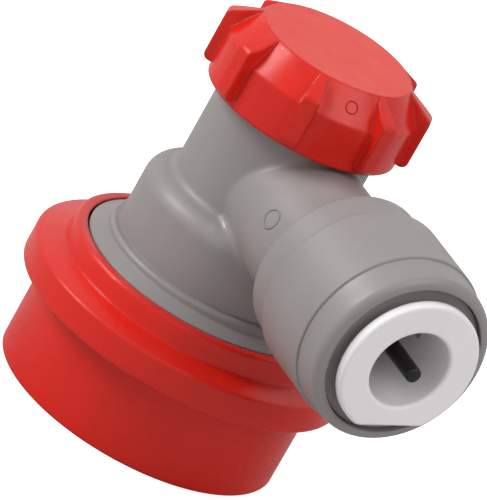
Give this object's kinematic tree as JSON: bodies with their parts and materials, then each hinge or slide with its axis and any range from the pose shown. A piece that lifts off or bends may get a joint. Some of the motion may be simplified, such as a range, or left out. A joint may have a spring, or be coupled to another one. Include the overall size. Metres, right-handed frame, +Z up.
{
  "type": "quick disconnect",
  "caption": "Ball-lock quick disconnect for a gas post, with a locking collar, a screw cap and a push-fit tube port.",
  "frame": {"origin": "centre of the locking collar's bottom face, where the part stands", "axes": "+Z up the main axis to the screw cap, +X out along the tube arm"},
  "size_m": [0.0502, 0.0342, 0.0416],
  "materials": {
    "grey_plastic": "satin",
    "red_plastic": "satin",
    "white_plastic": "matte",
    "black_plastic": "matte",
    "rubber": "matte",
    "steel": "satin"
  },
  "bodies": {
    "housing": {"body": "grey_plastic", "snap_ring": "steel", "check_cage": "black_plastic", "seal_spacer": "grey_plastic", "tube_seal_inner": "rubber", "tube_seal_outer": "rubber", "collet_housing": "grey_plastic", "collar_spring": "steel", "poppet_spring": "steel", "check_spring": "steel"},
    "collar": {"collar": "red_plastic"},
    "poppet": {"poppet": "black_plastic", "poppet_seal": "rubber"},
    "cap_seal": {"cap_seal": "rubber"},
    "cap": {"cap": "red_plastic"},
    "collet": {"collet": "white_plastic", "collet_teeth": "steel"},
    "check_poppet": {"check_poppet": "black_plastic", "check_seal": "rubber"},
    "ball_1": {"ball_1": "steel"},
    "ball_2": {"ball_2": "steel"},
    "ball_3": {"ball_3": "steel"},
    "ball_4": {"ball_4": "steel"},
    "ball_5": {"ball_5": "steel"},
    "ball_6": {"ball_6": "steel"}
  },
  "joints": [
    {"name": "collar_slide", "type": "slide", "parent": "housing", "child": "collar", "axis": [0, 0, 1], "range_m": [0, 0.0025], "stiffness_N_per_m": 1500, "springref_m": -0.003, "deforming": ["collar_spring"]},
    {"name": "poppet_slide", "type": "slide", "parent": "housing", "child": "poppet", "axis": [0, 0, 1], "range_m": [0, 0.003], "stiffness_N_per_m": 300, "springref_m": -0.006, "deforming": ["poppet_spring"]},
    {"name": "cap_turn", "type": "hinge", "parent": "cap_seal", "child": "cap", "pos_m": [0, 0, 0.038], "axis": [0, 0, 1], "range_deg": [0, 1000]},
    {"name": "cap_lift", "type": "slide", "parent": "housing", "child": "cap_seal", "axis": [0, 0, 1], "range_m": [0, 0.0055]},
    {"name": "collet_slide", "type": "slide", "parent": "housing", "child": "collet", "axis": [-1, 0, 0], "range_m": [0, 0.0009]},
    {"name": "check_slide", "type": "slide", "parent": "housing", "child": "check_poppet", "axis": [-1, 0, 0], "range_m": [0, 0.0015], "stiffness_N_per_m": 150, "springref_m": -0.003, "deforming": ["check_spring"]},
    {"name": "ball_1_slide", "type": "slide", "parent": "housing", "child": "ball_1", "axis": [1, 0, 0], "range_m": [0, 0.00096]},
    {"name": "ball_2_slide", "type": "slide", "parent": "housing", "child": "ball_2", "axis": [0.5, 0.866, 0], "range_m": [0, 0.00096]},
    {"name": "ball_3_slide", "type": "slide", "parent": "housing", "child": "ball_3", "axis": [-0.5, 0.866, 0], "range_m": [0, 0.00096]},
    {"name": "ball_4_slide", "type": "slide", "parent": "housing", "child": "ball_4", "axis": [-1, 0, 0], "range_m": [0, 0.00096]},
    {"name": "ball_5_slide", "type": "slide", "parent": "housing", "child": "ball_5", "axis": [-0.5, -0.866, 0], "range_m": [0, 0.00096]},
    {"name": "ball_6_slide", "type": "slide", "parent": "housing", "child": "ball_6", "axis": [0.5, -0.866, 0], "range_m": [0, 0.00096]}
  ],
  "couplings": [
    {"joint": "ball_1_slide", "follows": "collar_slide", "ratio": 0.38},
    {"joint": "ball_2_slide", "follows": "collar_slide", "ratio": 0.38},
    {"joint": "ball_3_slide", "follows": "collar_slide", "ratio": 0.38},
    {"joint": "ball_4_slide", "follows": "collar_slide", "ratio": 0.38},
    {"joint": "ball_5_slide", "follows": "collar_slide", "ratio": 0.38},
    {"joint": "ball_6_slide", "follows": "collar_slide", "ratio": 0.38},
    {"joint": "cap_turn", "follows": "cap_lift", "rad_per_m": 3141.6}
  ]
}
